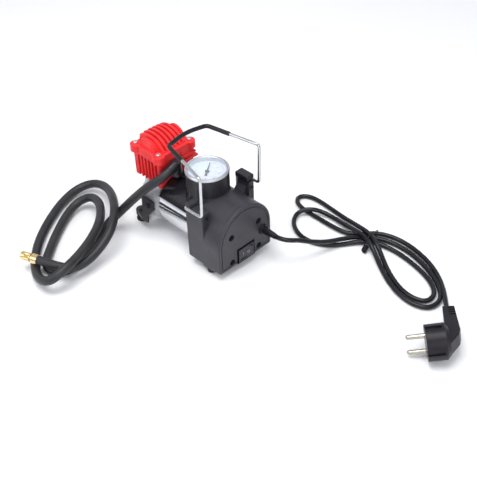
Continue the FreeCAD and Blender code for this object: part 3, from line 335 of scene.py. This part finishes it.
def finish_cad_nodes():
    for part in frame["record"]["subparts"]:
        usual = SLOT_MATERIAL[part["material_slot"]]
        paint(NODES[part["node"]], NODE_MATERIAL.get(part["node"], usual))


finish_cad_nodes()


# ---------------------------------------------------------------- cords
ROUTE_STEPS = (10, 7)  # resolution along the route and round the tube
TIE_STEPS = (8, 4)


def round_curve(name, route, radius, material, steps, closed=False):
    """Smooth tube along a route of points in millimetres."""
    data = bpy.data.curves.new(name, "CURVE")
    data.dimensions = "3D"
    spline = data.splines.new("NURBS")
    spline.points.add(len(route) - 1)
    for point, place in zip(spline.points, route):
        point.co = (*at(*place), 1)
    spline.order_u = 3
    spline.use_endpoint_u = not closed
    spline.use_cyclic_u = closed
    spline.resolution_u, data.bevel_resolution = steps
    data.bevel_depth = radius * MM
    data.use_fill_caps = not closed
    data.materials.append(material)
    curve = bpy.data.objects.new(name, data)
    bpy.context.collection.objects.link(curve)
    return curve


def make_cords(tie, nut):
    hose = round_curve("hose_line", HOSE_ROUTE, HOSE_D / 2, HOSE, ROUTE_STEPS)
    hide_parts("air_hose")
    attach(hose, "pump_unit")
    lead = round_curve("lead_line", CORD_ROUTE, CORD_D / 2, JACKET, ROUTE_STEPS)
    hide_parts("power_cord")
    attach(lead, "pump_unit")


# ---------------------------------------------------------------- small pieces drawn as meshes
WELD_M = 1e-6


class Sketch:
    """Mesh built from simple solids, in the millimetres of at()."""

    def __init__(self):
        self.mesh = bmesh.new()

    def prism(self, outline, shift):
        """Closed solid from a flat outline of points and the vector that it is pushed along."""
        low = [self.mesh.verts.new(at(*p)) for p in outline]
        high = [self.mesh.verts.new(at(*(a + b for a, b in zip(p, shift)))) for p in outline]
        self.mesh.faces.new(low)
        self.mesh.faces.new(high)
        for i in range(len(low)):
            j = (i + 1) % len(low)
            self.mesh.faces.new((low[i], low[j], high[j], high[i]))

    def arc_band(self, centre, r_in, r_out, start, end, thick, steps):
        """Flat curved bar, angles in degrees."""
        turns = [math.radians(start + (end - start) * i / steps) for i in range(steps + 1)]
        x, y, z = centre
        outer = [(x + r_out * math.cos(t), y + r_out * math.sin(t), z) for t in turns]
        inner = [(x + r_in * math.cos(t), y + r_in * math.sin(t), z) for t in turns]
        for i in range(steps):
            self.prism([outer[i], outer[i + 1], inner[i + 1], inner[i]], (0, 0, thick))

    def piece(self, name, material, body, slot):
        """Turn the sketch into an object on a body."""
        bmesh.ops.remove_doubles(self.mesh, verts=self.mesh.verts, dist=WELD_M)
        bmesh.ops.recalc_face_normals(self.mesh, faces=self.mesh.faces)
        data = bpy.data.meshes.new(name)
        self.mesh.to_mesh(data)
        self.mesh.free()
        obj = bpy.data.objects.new(name, data)
        bpy.context.collection.objects.link(obj)
        paint(obj, material)
        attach(obj, body)
        return obj


# ---------------------------------------------------------------- gauge print
DIAL_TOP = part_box("gauge_dial")[1][2] / MM
DIAL_UP = -99.0  # direction in which the numbers' tops point, in degrees from +X
SCALE_START = 36.0
SCALE_SWEEP = 270.0
PRINT_THICK = 0.06
# Radii of each scale's line, and the inner radius and width of its long and short ticks.
OUTER_SCALE = {"line": (18.6, 18.9), "ticks": 30, "long_every": 5, "tick_out": 18.7,
               "long": (16.6, 0.45), "short": (17.5, 0.25), "arc_steps": 72}
INNER_SCALE = {"line": (9.6, 9.85), "ticks": 20, "long_every": 4, "tick_out": 9.7,
               "long": (8.6, 0.3), "short": (9.0, 0.3), "arc_steps": 60}
NUMBER_RADIUS = 13.6
NUMBER_SIZE = 3.6
NUMBER_STEP = 50
NUMBER_COUNT = 7


def scale_spot(share, radius):
    """Point on the dial at a share of the scale, which runs clockwise."""
    turn = math.radians(SCALE_START - SCALE_SWEEP * share)
    return radius * math.cos(turn), GAUGE_Y + radius * math.sin(turn)


def tick(sketch, share, r_in, r_out, width):
    """Short radial bar at a share of the scale."""
    turn = math.radians(SCALE_START - SCALE_SWEEP * share)
    across = (-math.sin(turn) * width / 2, math.cos(turn) * width / 2)
    corners = []
    for radius, side in ((r_in, -1), (r_out, -1), (r_out, 1), (r_in, 1)):
        x, y = scale_spot(share, radius)
        corners.append((x + side * across[0], y + side * across[1], DIAL_TOP))
    sketch.prism(corners, (0, 0, PRINT_THICK))


def make_scale(name, scale, ink):
    """Curved line with long and short ticks on its inner side."""
    sketch = Sketch()
    r_in, r_out = scale["line"]
    sketch.arc_band((0, GAUGE_Y, DIAL_TOP), r_in, r_out, SCALE_START, SCALE_START - SCALE_SWEEP,
                    PRINT_THICK, scale["arc_steps"])
    for i in range(scale["ticks"] + 1):
        tick_in, width = scale["short"] if i % scale["long_every"] else scale["long"]
        tick(sketch, i / scale["ticks"], tick_in, scale["tick_out"], width)
    sketch.piece(name, ink, "pump_unit", "white_dial")


def make_dial_number(index, label):
    data = bpy.data.curves.new("dial_number_" + str(index), "FONT")
    data.body = label
    data.size = NUMBER_SIZE * MM
    data.align_x = "CENTER"
    data.align_y = "CENTER"
    data.extrude = PRINT_THICK / 2 * MM
    data.materials.append(INK)
    number = bpy.data.objects.new(data.name, data)
    bpy.context.collection.objects.link(number)
    x, y = scale_spot(index / (NUMBER_COUNT - 1), NUMBER_RADIUS)
    number.location = at(x, y, DIAL_TOP + PRINT_THICK / 2)
    number.rotation_euler = (0, 0, math.radians(DIAL_UP - 90))
    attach(number, "pump_unit")


make_scale("dial_outer_scale", OUTER_SCALE, INK)
make_scale("dial_inner_scale", INNER_SCALE, INK_RED)
for order in range(NUMBER_COUNT):
    make_dial_number(order, str(NUMBER_STEP * order))


# ---------------------------------------------------------------- switch
SWITCH_Z = 19.3
SWITCH_HALF = (11.5, 8.5)
# Size of the seal frame round the switch, which also carries the painted shade of the gap there.
SEAL_SHADE_REACH = 1.7
SEAL_SHADE_WIDTH = 1.65
SEAL_SHADE_THICK = 0.5
ROCKER_TILT = 10.0
ROCKER_AXIS_Y = 3.0
ROCKER_FACE_Y = -0.8
MARK_HEIGHT = 0.42
BAR_X = -3.45
BAR_HALF = (0.35, 2.0)
RING_X = 3.5
RING_RADII = (1.1, 1.7)
RING_STEPS = 28


def make_switch_seal_and_shade():
    """Four mitred bars round the switch's window in the rear cover: a seal drawn near-black and almost
    without gloss, so that it is partly painted shade of the gap round the rocker.
    """
    seal_and_shade = Sketch()
    out_x, out_z = (half + SEAL_SHADE_REACH for half in SWITCH_HALF)
    in_x, in_z = out_x - SEAL_SHADE_WIDTH, out_z - SEAL_SHADE_WIDTH
    corners = [(-1, -1), (1, -1), (1, 1), (-1, 1)]
    for (ax, az), (bx, bz) in zip(corners, corners[1:] + corners[:1]):
        bar = [(ax * out_x, az * out_z), (bx * out_x, bz * out_z),
               (bx * in_x, bz * in_z), (ax * in_x, az * in_z)]
        seal_and_shade.prism([(x, -SEAL_SHADE_THICK, SWITCH_Z + z) for x, z in bar], (0, SEAL_SHADE_THICK, 0))
    seal_and_shade.piece("switch_seal_and_shade", SEAL_AND_SHADE, "pump_unit", "rubber")


def rocker_spot(x, y, z):
    """Point of the rocker, which lies tilted at rest."""
    turn = math.radians(-ROCKER_TILT)
    forward = y - ROCKER_AXIS_Y
    return (x * math.cos(turn) - forward * math.sin(turn),
            ROCKER_AXIS_Y + x * math.sin(turn) + forward * math.cos(turn), SWITCH_Z + z)


def rocker_mark(sketch, outline):
    """Raised mark on the rocker's face, from an outline of (x, z)."""
    face = [rocker_spot(x, ROCKER_FACE_Y, z) for x, z in outline]
    push = Vector(rocker_spot(0, ROCKER_FACE_Y - MARK_HEIGHT, 0)) - Vector(rocker_spot(0, ROCKER_FACE_Y, 0))
    sketch.prism(face, tuple(push))


def make_switch_marks():
    bar = Sketch()
    half_x, half_z = BAR_HALF
    left, right = BAR_X - half_x, BAR_X + half_x
    rocker_mark(bar, [(left, -half_z), (right, -half_z), (right, half_z), (left, half_z)])
    bar.piece("mark_on", WHITE_MARK, "rocker", "black_gloss")
    ring = Sketch()
    r_in, r_out = RING_RADII
    for i in range(RING_STEPS):
        a, b = (2 * math.pi * k / RING_STEPS for k in (i, i + 1))
        corners = ((r_out, a), (r_out, b), (r_in, b), (r_in, a))
        rocker_mark(ring, [(RING_X + r * math.cos(t), r * math.sin(t)) for r, t in corners])
    ring.piece("mark_off", WHITE_MARK, "rocker", "black_gloss")


make_switch_seal_and_shade()
make_switch_marks()


# ---------------------------------------------------------------- knurled nozzle
NUT_START = 5.2
NUT_SEGMENTS = 72
NUT_LENGTH = 12.8
VALVE_BORE_R = 3.9
SEAT_R = 3.35
STEM_BORE_R = 2.75
# Closed outline of the nut: distance along its axis, radius, and depth of the knurl there.
NUT_PROFILE = [
    (0.0, 4.3, 0.0), (0.5, 4.85, 0.0), (1.0, 4.85, 0.0), (1.2, 4.6, 0.0), (1.5, 4.88, 0.3), (7.4, 4.88, 0.3),
    (7.7, 4.5, 0.0), (8.5, 4.5, 0.0), (8.8, 4.85, 0.0), (12.3, 4.85, 0.0), (NUT_LENGTH, 4.4, 0.0),
    (NUT_LENGTH, VALVE_BORE_R, 0.0), (7.1, VALVE_BORE_R, 0.0), (7.1, SEAT_R, 0.0), (5.6, SEAT_R, 0.0),
    (5.6, STEM_BORE_R, 0.0), (0.0, STEM_BORE_R, 0.0),
]


def make_nozzle_nut():
    """Turn the profile round the hose's last stretch, with every second segment cut in by the knurl."""
    start, end = Vector(HOSE_ROUTE[-2]), Vector(HOSE_ROUTE[-1])
    axis = (end - start).normalized()
    side = axis.orthogonal().normalized()
    other = axis.cross(side)
    nut = Sketch()
    rings = []
    for along, radius, knurl in NUT_PROFILE:
        centre = end + axis * (NUT_START + along)
        ring = []
        for i in range(NUT_SEGMENTS):
            turn = 2 * math.pi * i / NUT_SEGMENTS
            outward = side * math.cos(turn) + other * math.sin(turn)
            spot = centre + outward * (radius - knurl * (i % 2))
            ring.append(nut.mesh.verts.new(at(*spot)))
        rings.append(ring)
    for ring, following in zip(rings, rings[1:] + rings[:1]):
        for i in range(NUT_SEGMENTS):
            j = (i + 1) % NUT_SEGMENTS
            nut.mesh.faces.new((ring[i], ring[j], following[j], following[i]))
    piece = nut.piece("nozzle_nut_knurled", BRASS, "nozzle_nut", "brass")
    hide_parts("nozzle_collar")
    return piece


# ---------------------------------------------------------------- twist tie
# Closed centreline of the wire round the lead's five strands, and the ends of the knot beside them.
TIE_LOOP = [
    (112.4, -83.0, 3.0), (112.2, -82.0, 9.5), (115.5, -80.6, 15.2), (121.0, -79.2, 15.4),
    (127.5, -77.6, 15.0), (133.5, -76.2, 9.0), (141.5, -74.6, 8.0), (144.0, -74.0, 4.6),
    (143.6, -74.2, 0.9), (131.0, -77.5, 0.6), (118.0, -81.0, 0.6),
]
TIE_WIRE_R = 0.55
TIE_TAIL = [(112.5, -81.6, 5.0), (104.5, -84.0, 3.9)]
TIE_TAIL_WIRE_R = 0.8
TIE_KNOT_R = 2.6
TIE_TURNS = 2
TIE_TURN_POINTS = 8


def tie_wire(name, points, radius, closed=False):
    wire = round_curve(name, points, radius, BLACK_PLUG, TIE_STEPS, closed)
    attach(wire, "pump_unit")
    return wire


def twisted_tail(start, end, turns, phase):
    """One of two strands twisted round the line from start to end."""
    axis = (Vector(end) - Vector(start)).normalized()
    side = axis.orthogonal().normalized()
    other = axis.cross(side)
    count = turns * TIE_TURN_POINTS
    points = []
    for i in range(count + 1):
        turn = 2 * math.pi * i / TIE_TURN_POINTS + phase
        offset = (side * math.cos(turn) + other * math.sin(turn)) * TIE_KNOT_R
        points.append(tuple(Vector(start).lerp(Vector(end), i / count) + offset))
    return points


def make_tie():
    loop = tie_wire("tie_loop", TIE_LOOP, TIE_WIRE_R, closed=True)
    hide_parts("cord_tie")
    for order in range(2):
        points = twisted_tail(*TIE_TAIL, TIE_TURNS, order * math.pi)
        tie_wire("tie_tail_" + str(order), points, TIE_TAIL_WIRE_R)
    return loop


make_cords(make_tie(), make_nozzle_nut())


# ---------------------------------------------------------------- floor and light
FLOOR_HALF_M = 6.0


def make_floor():
    corners = [(-1, -1), (1, -1), (1, 1), (-1, 1)]
    mesh = bpy.data.meshes.new("floor")
    mesh.from_pydata([(x * FLOOR_HALF_M, y * FLOOR_HALF_M, 0) for x, y in corners], [], [(0, 1, 2, 3)])
    floor = bpy.data.objects.new("floor", mesh)
    bpy.context.collection.objects.link(floor)
    paint(floor, pale_floor())


def area_light(name, place, size, power):
    data = bpy.data.lights.new(name, "AREA")
    data.size = size
    data.energy = power
    light = bpy.data.objects.new(name, data)
    bpy.context.collection.objects.link(light)
    light.location = place
    light.rotation_euler = (LIT_SPOT - Vector(place)).to_track_quat("-Z", "Y").to_euler()


# Brightness of the world at each sine of the height above the horizon: 0 is level and below, 1 is overhead.
SURROUND = [(0.0, 0.85), (0.12, 0.22), (0.30, 0.25), (0.42, 1.0), (0.62, 1.0), (0.72, 0.5), (1.0, 0.6)]
SURROUND_TINT = (0.945, 0.955, 1.0)
LIGHTS = {  # place in metres, size in metres, power in watts
    "key": ((-0.25, -0.05, 1.5), 0.9, 17),
    "camera_side": ((-0.5, -1.3, 0.8), 1.0, 6),
    "left": ((-1.2, 0.5, 0.9), 0.8, 4),
}
LIT_SPOT = Vector((0, 0, 0.05))


def make_surround():
    """World light by height above the horizon: white walls with grey bands that metal can reflect."""
    world = bpy.data.worlds.new("world")
    bpy.context.scene.world = world
    world.use_nodes = True
    nodes, links = world.node_tree.nodes, world.node_tree.links
    split = nodes.new("ShaderNodeSeparateXYZ")
    ramp = nodes.new("ShaderNodeValToRGB")
    links.new(nodes.new("ShaderNodeTexCoord").outputs["Generated"], split.inputs["Vector"])
    links.new(split.outputs["Z"], ramp.inputs["Fac"])
    links.new(ramp.outputs["Color"], nodes["Background"].inputs["Color"])
    elements = ramp.color_ramp.elements
    while len(elements) < len(SURROUND):
        elements.new(0.5)
    for element, (height, level) in zip(elements, SURROUND):
        element.position = height
        element.color = (*(level * tint for tint in SURROUND_TINT), 1)


def make_light():
    bpy.context.scene.view_settings.view_transform = "Standard"
    make_surround()
    for name, (place, size, power) in LIGHTS.items():
        area_light(name, place, size, power)


make_floor()
make_light()
